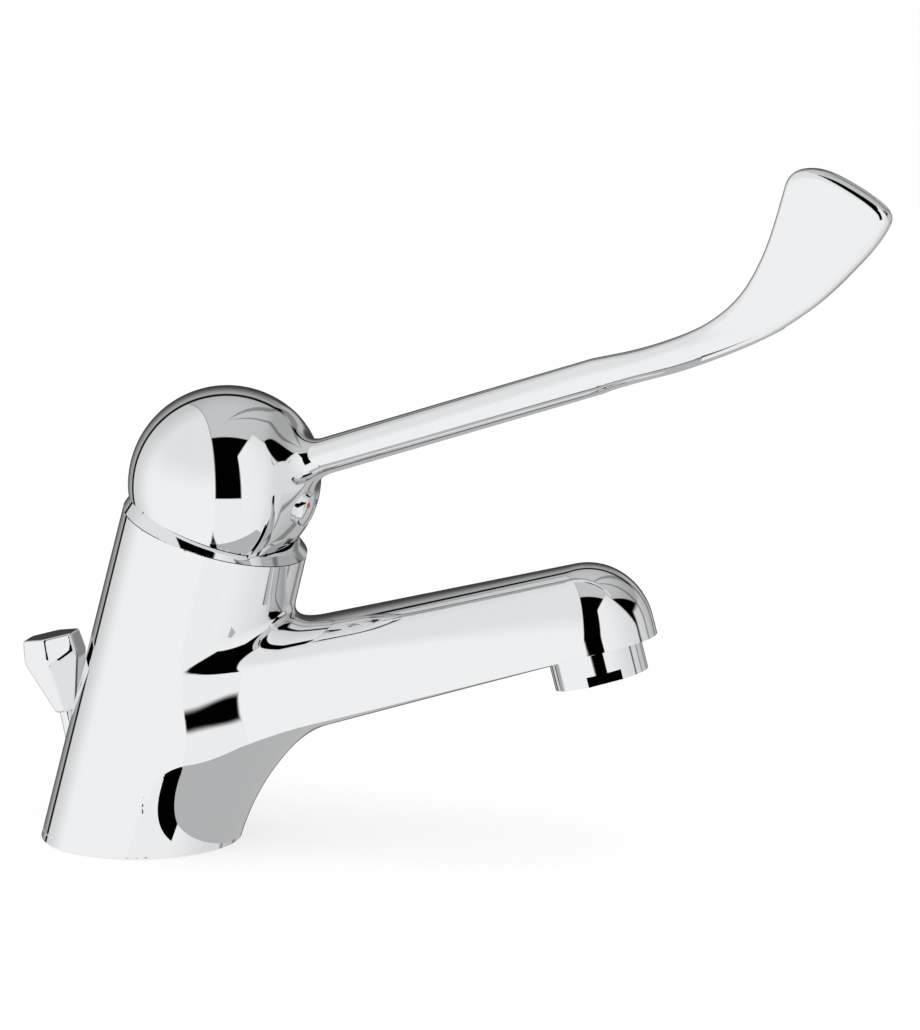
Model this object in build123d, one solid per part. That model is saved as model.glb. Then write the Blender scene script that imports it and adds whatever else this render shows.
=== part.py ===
"""Single-lever basin mixer tap with a long elbow lever.

Millimetres, +Z up. The origin is the middle of the round foot on the basin deck.
The spout and the lever point to -Y, towards the user, and +X is the user's right.

Two tilted frames carry most pieces. The cap frame stands on the top rim of the
neck, with its own Z along the leaning cartridge axis and its own Y to the back.
The outlet frame stands in the middle of the aerator's mouth, with its own Z up
the outlet axis and its own Y back along the spout.
"""
import os
from math import cos, hypot, radians, sin, sqrt, tan

from build123d import *

# whole tap
base_radius = 26.0
collar_radius = 24.4
collar_reach = 21.8
collar_height = 82.7
lean_angle = 16.3
outlet_reach = 127.5
outlet_height = 52.4
outlet_angle = 15.2

# clearances
running_gap = 0.05
sliding_gap = 0.1
seat_gap = 0.3
overrun = 1.5

# spout and spout head, in the outlet frame
spout_half_width = 16.3
spout_top = 29.8
spout_shoulder = 12.5
spout_length = 124.0
spout_parallel_length = 58.0
spout_root_half_width = 20.2
spout_root_drop = 26.1
spout_foot = 2.0
crown_steps = 3
valley_radius = 7.0
valley_room_share = 0.55

# hollow sweep in front of the foot and under the spout
heel_angle = 72.0
throat_angle = 47.0
soffit_angle = 18.8
soffit_rise = 7.2
throat_radius = 34.0
sweep_inset = 2.0
sweep_depth = 26.0
sweep_length = 100.0
sweep_lead = 4.0
sweep_stand_off = 0.3
heel_steps = 3
throat_steps = 2
soffit_sag_share = 0.36
end_sag_share = 0.14

# inside of the casting
casting_wall = 4.6
land_width = 5.4
chamber_radius = 20.3
chamber_depth = 32.0
floor_thickness = 4.0
nut_thread_radius = 21.2
nut_depth = 8.8
web_half_width = 16.5
web_front = 11.0
web_back = 11.0
web_height = 15.0
waterway_half_width = 10.5
waterway_half_height = 7.2
waterway_root_height = 16.0
waterway_head_height = 21.6
waterway_head_share = 0.5
waterway_head_width_share = 0.8
waterway_start = 5.0
waterway_end = 81.0
feeder_radius = 4.6
feeder_drop = 17.0
column_wall = 3.0

# supplies and fixing, under the foot
inlet_radius = 4.45
inlet_depth = 12.0
inlet_spacing = 19.0
inlet_forward = 5.0
inlet_passage_radius = 2.8
stud_radius = 3.4
stud_depth = 12.0
stud_back = 5.0
seal_width = 2.4
seal_height = 1.8
seal_inset = 1.3

# cartridge, in the cap frame
nut_inner_radius = 16.4
nut_recess = 0.4
nut_slot_width = 4.0
nut_slot_depth = 2.2
nut_slots = 4
housing_wall = 2.4
housing_top_wall = 3.2
housing_collar_radius = 15.9
housing_collar_rise = 1.2
base_plate_height = 4.4
port_radius = 2.5
port_side = 8.4
port_forward = 5.4
drain_radius = 3.8
drain_back = 5.0
port_seal_wall = 1.1
port_seal_height = 1.5
fixed_disc_height = 3.2
disc_radius = 16.8
moving_disc_radius = 12.9
moving_disc_height = 3.0
mixing_pocket_radius = 8.3
mixing_pocket_back = 3.4
mixing_pocket_depth = 1.3
carrier_height = 3.4
carrier_radius = 13.4
rotor_plate_height = 4.6
rotor_neck_radius = 13.2
rotor_key_rise = 1.9
rotor_seal_depth = 1.1
rotor_seal_height = 1.6
stem_side = 8.0
stem_top = 17.0
stem_ball_radius = 2.6
stem_waist_radius = 2.2
pivot_drop = 8.0
pivot_pin_radius = 1.5
lever_lift_limit = 12.0

# cover ring between neck and lever
ring_key_radius = 13.5
ring_flange = 1.4
ring_wall = 1.8
ring_foot_radius = 24.4

# lever
dome_radius = 25.5
dome_centre_height = 12.5
rim_height = 3.2
rim_tilt = 3.0
lip_thickness = 0.8
boss_radius = 8.0
boss_rise = 5.0
web_thickness = 12.0
rod_slope = 19.1
rod_half_height = 4.65
rod_half_width = 6.4
rod_tip_half_width = 4.2
rod_root_forward = 12.0
rod_plug_gap = 2.9
rod_flare_share = 1.5
rod_end_forward = 152.0
face_forward = 19.1
face_lean = 10.4
face_return = 5.0
face_bulge_height = 12.5
face_turn_radius = 6.0
face_turn_steps = 4
face_margin = 0.6
face_depth = 16.0
face_sag_share = 0.12
face_depth_share = 0.8
face_clear_share = 0.6
face_wall = 1.8

# blade at the end of the lever
blade_thickness = 6.4
blade_edge_radius = 2.3
blade_heel_radius = 96.0
blade_front_angle = 50.0
blade_front_length = 13.8
blade_nose_radius = 4.2
blade_crest_radius = 6.0
blade_tip_angle = 26.0
blade_tip_length = 31.5
blade_throat_radius = 31.0
blade_throat_angle = 75.0

# index plug and grub screw, in the cap frame
plug_height = 13.9
plug_radius = 4.45
plug_stand = 1.9
plug_crown = 0.7
plug_shank_radius = 3.9
plug_shank_length = 3.6
mark_radius = 0.7
mark_side = 2.4
mark_rise = 2.0
mark_depth = 0.5
mark_proud = 0.05
screw_radius = 2.5
screw_length = 8.0
screw_socket_share = 0.55

# aerator, in the outlet frame
aerator_radius = 12.0
aerator_length = 13.6
aerator_wall = 1.6
aerator_lip = 1.0
aerator_lip_height = 1.4
aerator_flat = 11.15
aerator_flat_height = 2.6
aerator_flat_turn = 26.0
insert_length = 9.6
insert_hole_radius = 0.95
insert_hole_pitch = 2.75
insert_rings = 3
screen_thickness = 0.5
screen_hole_radius = 0.6
screen_hole_pitch = 1.9
screen_rings = 4
washer_thickness = 1.8
washer_width = 2.6
head_chamber_radius = 9.3
head_chamber_top = 25.4

# pop-up lift rod and its knob, behind the body
lift_tilt = 12.5
lift_rod_inset = 5.2
knob_bottom_height = 31.2
lift_rod_radius = 2.0
lift_rod_foot = 1.0
lift_bush_radius = 2.9
lift_bush_low = 5.0
lift_bush_high = 17.0
lift_bore_run = 5.0
lift_boss_wall = 2.2
lift_boss_height = 22.0
knob_height = 20.4
knob_girdle_height = 14.6
knob_bottom_radius = 3.2
knob_girdle_radius = 8.6
knob_top_radius = 7.7
knob_edge = 0.5
knob_sides = 6
knob_turn = 8.0
knob_socket_depth = 9.0

# worked out from the values above
lean = radians(lean_angle)
tip = radians(outlet_angle)
cap_plane = Plane(origin=(0, -collar_reach, collar_height), x_dir=(1, 0, 0),
                  z_dir=(0, -sin(lean), cos(lean)))
outlet_plane = Plane(origin=(0, -outlet_reach, outlet_height), x_dir=(1, 0, 0),
                     z_dir=(0, sin(tip), cos(tip)))
base_plate_top = base_plate_height - chamber_depth + seat_gap
fixed_disc_top = base_plate_top + fixed_disc_height
moving_disc_low = fixed_disc_top + running_gap
moving_disc_top = moving_disc_low + moving_disc_height
carrier_top = moving_disc_top + carrier_height
rotor_low = carrier_top + sliding_gap
rotor_plate_top = rotor_low + rotor_plate_height
housing_bore_radius = chamber_radius - seat_gap - housing_wall
housing_shoulder = -nut_depth - sliding_gap
housing_inner_top = housing_shoulder - housing_top_wall
rotor_seal_low = rotor_plate_top + rotor_seal_height / 2
pivot_height = -pivot_drop
ball_height = moving_disc_top + stem_ball_radius + seat_gap
ring_flange_low = -nut_recess + seat_gap + sliding_gap
ring_flange_top = ring_flange_low + ring_flange
sweep_half_width = base_radius - sweep_inset
lift_rod_back = base_radius - lift_rod_inset
face_half_width = sqrt(dome_radius ** 2 - face_forward ** 2) + face_margin
rim_distance = dome_centre_height - rim_height
rim_radius = sqrt(dome_radius ** 2 - rim_distance ** 2)
rim_shift = rim_distance * sin(radians(rim_tilt))
lip_radius = rim_radius - lip_thickness
aerator_bore_radius = aerator_radius + sliding_gap
washer_low = aerator_length + sliding_gap
aerator_shoulder = washer_low + washer_thickness + sliding_gap
insert_radius = aerator_radius - aerator_wall - sliding_gap
insert_low = aerator_lip_height + sliding_gap
screen_low = insert_low + insert_length + running_gap


def in_cap(shape):
    """Places a shape drawn in the cap frame."""
    return cap_plane.location * shape


def in_outlet(shape):
    """Places a shape drawn in the outlet frame."""
    return outlet_plane.location * shape


def disc(radius, low, high, x=0.0, y=0.0):
    """Upright cylinder between two heights."""
    return Pos(x, y, (low + high) / 2) * Cylinder(radius, high - low)


def tube(outer, inner, low, high):
    """Upright ring between two heights."""
    return disc(outer, low, high) - disc(inner, low - overrun, high + overrun)


def block(half_x, front, back, low, high):
    """Box centred on X that runs from front to back in Y."""
    size = Box(2 * half_x, back - front, high - low)
    return Pos(0, (front + back) / 2, (low + high) / 2) * size


def bar(start, end, radius):
    """Round bar between two points."""
    run = Vector(end) - Vector(start)
    stand = Plane(origin=start, z_dir=run).location
    return stand * disc(radius, 0, run.length)


def cap_point(x, y, z):
    """World place of a point given in the cap frame."""
    return cap_plane.from_local_coords((x, y, z))


def outlet_point(x, y, z):
    """World place of a point given in the outlet frame."""
    return outlet_plane.from_local_coords((x, y, z))


def lift_plane():
    """Frame of the lift rod: its Z runs up the rod from the knob's lower end."""
    tilt = radians(lift_tilt)
    return Plane(origin=(0, lift_rod_back, knob_bottom_height), x_dir=(1, 0, 0),
                 z_dir=(0, sin(tilt), cos(tilt)))


def along_rod(height):
    """Distance along the lift rod, from its frame's origin, of a world height."""
    return (height - knob_bottom_height) / cos(radians(lift_tilt))


# the hollow sweep that trims the body and, smaller, the lever

def sweep_station(forward, height, angle, half_width, sag, depth):
    """Face square to the sweep's path: a bulged edge, open to the hollow side."""
    turn = radians(angle)
    stand = Plane(origin=(0, -forward, height), x_dir=(1, 0, 0),
                  z_dir=(0, -cos(turn), sin(turn)))
    edge = ThreePointArc((-half_width, sag), (0, 0), (half_width, sag))
    sides = Polyline((half_width, sag), (half_width, -depth), (-half_width, -depth),
                     (-half_width, sag))
    return stand * make_face(edge + sides)


def arc_step(forward, height, radius, start_angle, end_angle):
    """End of an arc that starts at a slope and flattens to another one."""
    start, end = radians(start_angle), radians(end_angle)
    return (forward + radius * (sin(start) - sin(end)),
            height + radius * (cos(end) - cos(start)))


def straight_step(forward, height, length, angle):
    """End of a straight run along a slope."""
    return forward + length * cos(radians(angle)), height + length * sin(radians(angle))


def heel_radius():
    """Radius of the sweep's heel that brings the soffit to its height under the outlet."""
    heel, throat, soffit = radians(heel_angle), radians(throat_angle), radians(soffit_angle)
    ahead = outlet_reach - base_radius - sweep_stand_off
    rest = outlet_height + soffit_rise - ahead * tan(soffit)
    rest -= throat_radius * (cos(soffit) - cos(throat) - (sin(throat) - sin(soffit)) * tan(soffit))
    return rest / (cos(throat) - cos(heel) - (sin(heel) - sin(throat)) * tan(soffit))


def body_sweep():
    """What is scooped away in front of the foot and under the spout."""
    foot_sag = base_radius - sqrt(base_radius ** 2 - sweep_half_width ** 2)
    start = (base_radius + sweep_stand_off, 0.0)
    lead = straight_step(*start, -sweep_lead, heel_angle)
    path = [(lead, heel_angle)]
    for count in range(heel_steps + 1):
        angle = heel_angle + (throat_angle - heel_angle) * count / heel_steps
        path.append((arc_step(*start, heel_radius(), heel_angle, angle), angle))
    throat = path[-1][0]
    for count in range(1, throat_steps + 1):
        angle = throat_angle + (soffit_angle - throat_angle) * count / throat_steps
        path.append((arc_step(*throat, throat_radius, throat_angle, angle), angle))
    stations = []
    for place, angle in path:
        turned = (heel_angle - angle) / (heel_angle - soffit_angle)
        share = 1 - (1 - soffit_sag_share) * turned ** 2 * (3 - 2 * turned)
        stations.append(sweep_station(*place, angle, sweep_half_width, foot_sag * share,
                                      sweep_depth))
    end = straight_step(*path[-1][0], sweep_length, soffit_angle)
    last = sweep_station(*end, soffit_angle, sweep_half_width, foot_sag * end_sag_share,
                         sweep_depth)
    return loft(stations) + loft([stations[-1], last], ruled=True)


# tap body

def crown(half_width):
    """Quarter of the spout's oval top, from its middle down to the shoulder."""
    rise = spout_top - spout_shoulder
    turns = [radians(90 * count / crown_steps) for count in range(crown_steps + 1)]
    ways = [(half_width * sin(turn), spout_shoulder + rise * cos(turn)) for turn in turns]
    return Spline(*ways, tangents=[(1, 0), (0, -1)])


def arch(half_width, foot, back):
    """Spout section at a distance back from the outlet axis: upright sides, oval top."""
    sides = Polyline((-half_width, spout_shoulder), (-half_width, foot),
                     (half_width, foot), (half_width, spout_shoulder))
    outline = crown(half_width) + mirror(crown(half_width), about=Plane.YZ) + sides
    return Pos(0, back, 0) * (Plane.XZ * make_face(outline))


def spout_block():
    """Spout with its round head, still deep below the soffit."""
    parallel = loft([arch(spout_half_width, spout_foot, 0),
                     arch(spout_half_width, spout_foot, spout_parallel_length)], ruled=True)
    root = loft([arch(spout_half_width, spout_foot, spout_parallel_length),
                 arch(spout_root_half_width, -spout_root_drop, spout_length)], ruled=True)
    half = Polyline((0, spout_top), (0, spout_foot), (spout_half_width, spout_foot),
                    (spout_half_width, spout_shoulder))
    profile = Plane.XZ * make_face(crown(spout_half_width) + half)
    head = Rot(0, 0, 180) * revolve(profile, Axis.Z, revolution_arc=180)
    return in_outlet(parallel + root + head)


def body_outside():
    """Leaning body with its spout, as one solid skin."""
    trunk = loft([Circle(base_radius), cap_plane * Circle(collar_radius)], ruled=True)
    spout = spout_block()
    whole = trunk + spout
    neck_front = cap_point(0, -collar_radius, 0)
    seams = [edge for edge in new_edges(trunk, spout, combined=whole)
             if edge.center().Z > outlet_height and edge.center().Y > neck_front.Y - base_radius]
    crest = outlet_point(0, 0, spout_top)
    room = neck_front.Z - crest.Z + (neck_front.Y - crest.Y) * tan(radians(outlet_angle))
    whole = fillet(seams, min(valley_radius, room * valley_room_share))
    whole -= block(base_radius, -2 * base_radius, base_radius, -outlet_height, 0)
    return whole - body_sweep()


def body_cavity():
    """Cored hollow that opens under the foot, less the web and columns left in it."""
    floor = -(chamber_depth + floor_thickness)
    centre = outside_centre(floor)
    hollow = loft([Pos(0, 0, -overrun) * Circle(base_radius - land_width),
                   cap_plane * (Pos(0, centre, floor) * Circle(collar_radius - casting_wall))],
                  ruled=True)
    web = block(web_half_width, -web_front, web_back, 0, web_height)
    columns = [bar(inlet_foot(side), inlet_head(side), inlet_passage_radius + column_wall)
               for side in (-1, 1)]
    drop = bar(drain_head(), drain_foot(), feeder_radius + column_wall)
    run = bar(drain_foot(), feeder_end(), feeder_radius + column_wall)
    heel = Pos(*drain_foot()) * Sphere(feeder_radius + column_wall)
    boss = lift_plane().location * disc(lift_bush_radius + lift_boss_wall,
                                        along_rod(0), along_rod(lift_boss_height))
    return hollow - web - columns[0] - columns[1] - drop - run - heel - boss


def outside_centre(height):
    """Where the trunk's own middle lies, in the cap frame, at a cap-frame height."""
    point = cap_point(0, 0, height)
    share = point.Z / collar_height
    return (-collar_reach * share - point.Y) / cos(lean)


def inlet_foot(side):
    return Vector(side * inlet_spacing / 2, -inlet_forward, 0)


def inlet_head(side):
    return cap_point(side * port_side, -port_forward, -chamber_depth + overrun)


def drain_head():
    return cap_point(0, drain_back, -chamber_depth + overrun)


def drain_foot():
    return cap_point(0, drain_back, -chamber_depth - feeder_drop)


def feeder_end():
    return outlet_point(0, waterway_end - overrun, waterway_root_height)


def waterway():
    """Passages: two supplies up to the cartridge, the mixed water down and out."""
    supplies = [bar(inlet_foot(side) + Vector(0, 0, inlet_depth - overrun), inlet_head(side),
                    inlet_passage_radius) for side in (-1, 1)]
    drain = bar(drain_head(), drain_foot(), feeder_radius)
    elbow = Pos(*drain_foot()) * Sphere(feeder_radius)
    feeder = bar(drain_foot(), feeder_end(), feeder_radius)
    root = Plane.XZ * (Pos(0, waterway_root_height)
                       * Ellipse(waterway_half_width, waterway_half_height))
    head = Plane.XZ * (Pos(0, waterway_head_height)
                       * Ellipse(waterway_half_width * waterway_head_width_share,
                                 waterway_half_height * waterway_head_share))
    channel = loft([Pos(0, waterway_start, 0) * head, Pos(0, waterway_end, 0) * root], ruled=True)
    chamber = disc(head_chamber_radius, aerator_shoulder - overrun, head_chamber_top)
    return [*supplies, drain, elbow, feeder, in_outlet(channel), in_outlet(chamber)]


def tap_body():
    """One brass casting: foot, leaning body, neck and spout."""
    body = body_outside()
    body -= body_cavity()
    body -= in_cap(disc(chamber_radius, -chamber_depth, overrun))
    body -= in_cap(disc(nut_thread_radius, -nut_depth, overrun))
    for passage in waterway():
        body -= passage
    body -= in_outlet(disc(aerator_bore_radius, -outlet_height / 2, aerator_shoulder))
    for side in (-1, 1):
        body -= Pos(*inlet_foot(side)) * disc(inlet_radius, -overrun, inlet_depth)
    body -= disc(stud_radius, -overrun, stud_depth, y=stud_back)
    body -= lift_plane().location * disc(lift_rod_radius + running_gap,
                                         along_rod(-overrun), lift_bore_run)
    body -= lift_plane().location * disc(lift_bush_radius + running_gap,
                                         along_rod(-overrun), along_rod(lift_bush_high) + seat_gap)
    body -= tube(base_radius - seal_inset, base_radius - seal_inset - seal_width,
                 -overrun, seal_height)
    return body


def base_seal_ring():
    """Rubber ring in the groove under the foot, flush with the deck."""
    outer = base_radius - seal_inset - sliding_gap
    return tube(outer, outer - seal_width + 2 * sliding_gap, 0, seal_height - sliding_gap)


# cartridge, all in the cap frame

def ports(radius_extra, low, high):
    """Two supply ports and the drain as plain pins, for cuts."""
    pins = [disc(port_radius + radius_extra, low, high, x=side * port_side, y=-port_forward)
            for side in (-1, 1)]
    return [*pins, disc(drain_radius + radius_extra, low, high, y=drain_back)]


def cartridge_nut():
    """Threaded ring that clamps the cartridge, with spanner slots."""
    nut = tube(nut_thread_radius - running_gap, nut_inner_radius, -nut_depth, -nut_recess)
    for count in range(nut_slots):
        slot = Pos(nut_thread_radius, 0, -nut_recess) * Box(
            2 * (nut_thread_radius - nut_inner_radius + overrun), nut_slot_width,
            2 * nut_slot_depth)
        nut -= Rot(0, 0, count * 360 / nut_slots) * slot
    return nut


def cartridge_housing():
    """Plastic cup, open below, with the collar that the nut slides over."""
    outer = chamber_radius - sliding_gap
    cup = disc(outer, base_plate_top, housing_shoulder)
    cup += disc(housing_collar_radius, housing_shoulder - overrun, -housing_collar_rise)
    cup -= disc(housing_bore_radius, base_plate_top - overrun, housing_inner_top)
    return cup - disc(rotor_neck_radius + running_gap, housing_inner_top - overrun, overrun)


def cartridge_base():
    """Plastic plate with the three ports and a seat for each port's seal."""
    low = -chamber_depth + seat_gap
    plate = disc(chamber_radius - sliding_gap, low, base_plate_top - running_gap)
    for pin in ports(0, low - overrun, base_plate_top + overrun):
        plate -= pin
    for pin in ports(port_seal_wall, low - overrun, low + port_seal_height - seat_gap):
        plate -= pin
    return plate


def cartridge_port_seals():
    """Three rubber rings under the base plate."""
    low = -chamber_depth
    inner = ports(0, low - overrun, 0)
    outer = ports(port_seal_wall - running_gap, low, low + port_seal_height - sliding_gap)
    return Compound(children=[Solid(ring.wrapped) for pin, core in zip(outer, inner)
                              for ring in (pin - core).solids()])


def fixed_ceramic_disc():
    """Ceramic disc that stays still, with the three ports."""
    plate = disc(disc_radius, base_plate_top, fixed_disc_top)
    for pin in ports(0, base_plate_top - overrun, fixed_disc_top + overrun):
        plate -= pin
    return plate


def moving_ceramic_disc():
    """Ceramic disc with the mixing pocket in its lower face."""
    plate = disc(moving_disc_radius, moving_disc_low, moving_disc_top)
    return plate - disc(mixing_pocket_radius, moving_disc_low - overrun,
                        moving_disc_low + mixing_pocket_depth, y=mixing_pocket_back)


def disc_carrier():
    """Plastic carrier on the moving disc, with the pocket for the stem's ball."""
    plate = disc(carrier_radius, moving_disc_top, carrier_top)
    return plate - disc(stem_ball_radius + sliding_gap, moving_disc_top - overrun,
                        carrier_top + overrun)


def stem_slot(low, high):
    """Slot through the rotor in which the stem rocks about its pin."""
    reach = max(high - pivot_height, pivot_height - low) * tan(radians(lever_lift_limit))
    half_length = stem_side / 2 + reach + seat_gap
    return block(stem_side / 2 + seat_gap, -half_length, half_length, low - overrun, high + overrun)


def cartridge_rotor():
    """Plastic spindle that turns in the housing and keys the cover ring on its top."""
    rotor = disc(housing_bore_radius - seat_gap, rotor_low, rotor_plate_top)
    rotor += disc(rotor_neck_radius, rotor_plate_top - overrun, ring_flange_low - sliding_gap)
    rotor += disc(rotor_neck_radius, ring_flange_low - sliding_gap, rotor_key_rise) & block(
        rotor_neck_radius, -rotor_neck_radius, rotor_neck_radius,
        ring_flange_low - sliding_gap - running_gap, rotor_key_rise)
    rotor -= stem_slot(rotor_low, rotor_key_rise)
    rotor -= tube(rotor_neck_radius + overrun, rotor_neck_radius - rotor_seal_depth,
                  rotor_seal_low, rotor_seal_low + rotor_seal_height)
    pin = Pos(0, 0, pivot_height) * (Rot(0, 90, 0) * Cylinder(
        pivot_pin_radius + running_gap, 2 * rotor_neck_radius + overrun))
    return rotor - pin


def rotor_seal():
    """Rubber ring in the spindle's groove."""
    return tube(rotor_neck_radius, rotor_neck_radius - rotor_seal_depth + sliding_gap,
                rotor_seal_low + sliding_gap, rotor_seal_low + rotor_seal_height - sliding_gap)


def pivot_pin():
    """Steel pin across the rotor on which the lever's stem rocks."""
    length = 2 * (rotor_neck_radius - seat_gap)
    return Pos(0, 0, pivot_height) * (Rot(0, 90, 0) * Cylinder(pivot_pin_radius, length))


def lever_stem():
    """Square brass stem: socket end above, pin hole in the middle, ball end below."""
    half = stem_side / 2
    shoulder = rotor_low + half * sin(radians(lever_lift_limit))
    stem = block(half, -half, half, shoulder, stem_top)
    stem += disc(stem_waist_radius, ball_height, shoulder + overrun)
    stem += Pos(0, 0, ball_height) * Sphere(stem_ball_radius)
    hole = Pos(0, 0, pivot_height) * (Rot(0, 90, 0) * Cylinder(
        pivot_pin_radius + running_gap, 2 * stem_side))
    return stem - hole


# cover ring, in the cap frame

def cover_ring():
    """Chrome ring under the lever's rim, higher at the back, keyed to the rotor."""
    top_plane = Plane(origin=(0, rim_shift, rim_height - seat_gap), x_dir=(1, 0, 0),
                      z_dir=(0, -sin(radians(rim_tilt)), cos(radians(rim_tilt))))
    foot = Pos(0, 0, sliding_gap) * Circle(ring_foot_radius)
    ring = loft([foot, top_plane * Circle(lip_radius - seat_gap)], ruled=True)
    dish = Pos(0, rim_shift, 0) * disc(lip_radius - ring_wall - seat_gap, ring_flange_top,
                                       dome_radius)
    ring -= dish
    ring -= disc(ring_key_radius, -overrun, dome_radius)
    return ring - disc(nut_thread_radius, -overrun, ring_flange_low)


# lever, in the cap frame where it is not said otherwise

def rim_plane():
    """Plane of the lever's lower rim, which is tilted against the neck."""
    return Plane(origin=(0, rim_shift, rim_height), x_dir=(1, 0, 0),
                 z_dir=(0, -sin(radians(rim_tilt)), cos(radians(rim_tilt))))


def dome():
    """Ball-shaped cap, cut flat along the tilted rim, without what lies far ahead of the face."""
    ball = Pos(0, 0, dome_centre_height) * Sphere(dome_radius)
    below = rim_plane().location * disc(2 * dome_radius, -2 * dome_radius, 0)
    clear = face_turn_radius * face_clear_share
    plug_top = plug_height + plug_radius
    ahead = block(dome_radius, -2 * dome_radius, -face_forward - clear, -dome_radius, plug_top)
    ahead += block(dome_radius, -2 * dome_radius, plug_front(face_bulge_height) - clear, 0,
                   2 * dome_radius)
    return in_cap(ball - below - ahead)


def dome_hollow():
    """Room inside the dome: straight walls near the rim, round above."""
    walls = disc(lip_radius, -overrun, dome_centre_height, y=rim_shift)
    crown = Pos(0, rim_shift, dome_centre_height) * Sphere(lip_radius)
    room = walls + crown
    room -= disc(boss_radius, boss_rise, 2 * dome_radius)
    room -= block(web_thickness / 2, -dome_radius, 0, boss_rise + stem_side / 2, 2 * dome_radius)
    front = Plane(origin=(0, face_wall - face_forward, 0), x_dir=(1, 0, 0),
                  z_dir=(0, -cos(radians(face_lean)), -sin(radians(face_lean))))
    room -= front.location * Box(4 * dome_radius, 4 * dome_radius, 2 * dome_radius,
                                 align=(Align.CENTER, Align.CENTER, Align.MIN))
    behind = plug_front(face_bulge_height) + face_wall
    return in_cap(room - block(dome_radius, -2 * dome_radius, behind, -dome_radius,
                               2 * dome_radius))


def rod_point(forward):
    """Middle of the lever's rod at a distance forward of the origin, clear over the plug."""
    plug_top = cap_point(0, plug_front(plug_height), plug_height + plug_radius)
    slope = radians(rod_slope)
    over_plug = plug_top.Z + (rod_half_height + rod_plug_gap) / cos(slope)
    return forward, over_plug + (forward + plug_top.Y) * tan(slope)


def rod_section(forward, half_width):
    """Oval section square to the rod."""
    reach, height = rod_point(forward)
    slope = radians(rod_slope)
    stand = Plane(origin=(0, -reach, height), x_dir=(1, 0, 0),
                  z_dir=(0, -cos(slope), sin(slope)))
    return stand * Ellipse(half_width, rod_half_height)


def lever_rod():
    """Long rod that rises from the dome to the blade and thins sideways."""
    flare = rod_half_width * rod_flare_share
    root = loft([rod_section(collar_reach + rod_root_forward, flare),
                 rod_section(collar_reach + dome_radius + rod_root_forward, rod_half_width)],
                ruled=True)
    run = loft([rod_section(collar_reach + dome_radius + rod_root_forward, rod_half_width),
                rod_section(rod_end_forward, rod_tip_half_width)], ruled=True)
    return root + run


def blade():
    """Upright plate for the elbow: hollow throat above, round heel below, slanted end."""
    forward, height = rod_point(rod_end_forward)
    slope = radians(rod_slope)
    low = (forward + rod_half_height * sin(slope), height - rod_half_height * cos(slope))
    high = (forward - rod_half_height * sin(slope), height + rod_half_height * cos(slope))
    front = radians(blade_front_angle)
    heel = (low[0] + blade_heel_radius * (sin(front) - sin(slope)),
            low[1] + blade_heel_radius * (cos(slope) - cos(front)))
    nose = (heel[0] + blade_front_length * cos(front), heel[1] + blade_front_length * sin(front))
    back = radians(blade_tip_angle)
    crest = (nose[0] - blade_tip_length * cos(back), nose[1] + blade_tip_length * sin(back))
    throat = radians(blade_throat_angle)
    bend = (high[0] + blade_throat_radius * (sin(throat) - sin(slope)),
            high[1] + blade_throat_radius * (cos(slope) - cos(throat)))
    heel_middle = (slope + front) / 2
    heel_way = (low[0] + blade_heel_radius * (sin(heel_middle) - sin(slope)),
                low[1] + blade_heel_radius * (cos(slope) - cos(heel_middle)))
    throat_middle = (slope + throat) / 2
    bend_way = (high[0] + blade_throat_radius * (sin(throat_middle) - sin(slope)),
                high[1] + blade_throat_radius * (cos(slope) - cos(throat_middle)))
    outline = ThreePointArc(low, heel_way, heel)
    outline += Polyline(heel, nose, crest, bend)
    outline += ThreePointArc(bend, bend_way, high)
    outline += Line(high, low)
    side = Plane(origin=(0, 0, 0), x_dir=(0, -1, 0), z_dir=(-1, 0, 0))
    plate = extrude(side * make_face(outline), blade_thickness / 2, both=True)
    nose_edge = plate.edges().filter_by(Axis.X).sort_by(Axis.Y)[0]
    plate = fillet(nose_edge, blade_nose_radius)
    crest_edge = plate.edges().filter_by(Axis.X).sort_by(Axis.Z)[-1]
    plate = fillet(crest_edge, blade_crest_radius)
    rims = [edge for edge in plate.edges()
            if abs(edge.center().X) > blade_thickness / 4
            and edge.center().Y < -rod_end_forward - rod_half_height * sin(slope)]
    return fillet(rims, blade_edge_radius)


def lever_sweep():
    """What is scooped away down the front of the dome and under the rod's root."""
    lower_angle = 90 - lean_angle - face_lean
    upper_angle = 90 - lean_angle + face_return
    foot = cap_point(0, -face_forward, 0)
    start = (-foot.Y, foot.Z)
    low = straight_step(*start, -face_depth / 2, lower_angle)
    bulge = straight_step(*start, face_bulge_height / cos(radians(face_lean)), lower_angle)
    reach, height = rod_point(rod_end_forward)
    slope, up = radians(rod_slope), radians(upper_angle)
    under = rod_half_height + sweep_stand_off
    run_end = (reach + under * sin(slope), height - under * cos(slope))
    ahead, above = run_end[0] - bulge[0], run_end[1] - bulge[1]
    rise = (above * cos(slope) - ahead * sin(slope)) / sin(up - slope)
    cut_back = face_turn_radius * tan((up - slope) / 2)
    turn_start = straight_step(*bulge, rise - cut_back, upper_angle)
    path = [(low, lower_angle), (start, lower_angle), (bulge, (lower_angle + upper_angle) / 2)]
    for count in range(face_turn_steps + 1):
        angle = upper_angle + (rod_slope - upper_angle) * count / face_turn_steps
        path.append((arc_step(*turn_start, face_turn_radius, upper_angle, angle), angle))
    path.append((run_end, rod_slope))
    return loft([sweep_station(*place, angle, face_half_width, face_half_width * face_sag_share,
                               face_turn_radius * face_depth_share)
                 for place, angle in path], ruled=True)


def plug_front(height):
    """Where the dome's front face lies, in the cap frame, at a cap-frame height."""
    lower = min(height, face_bulge_height)
    return (height - lower) * tan(radians(face_return)) - (
        face_forward + lower * tan(radians(face_lean)))


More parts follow.
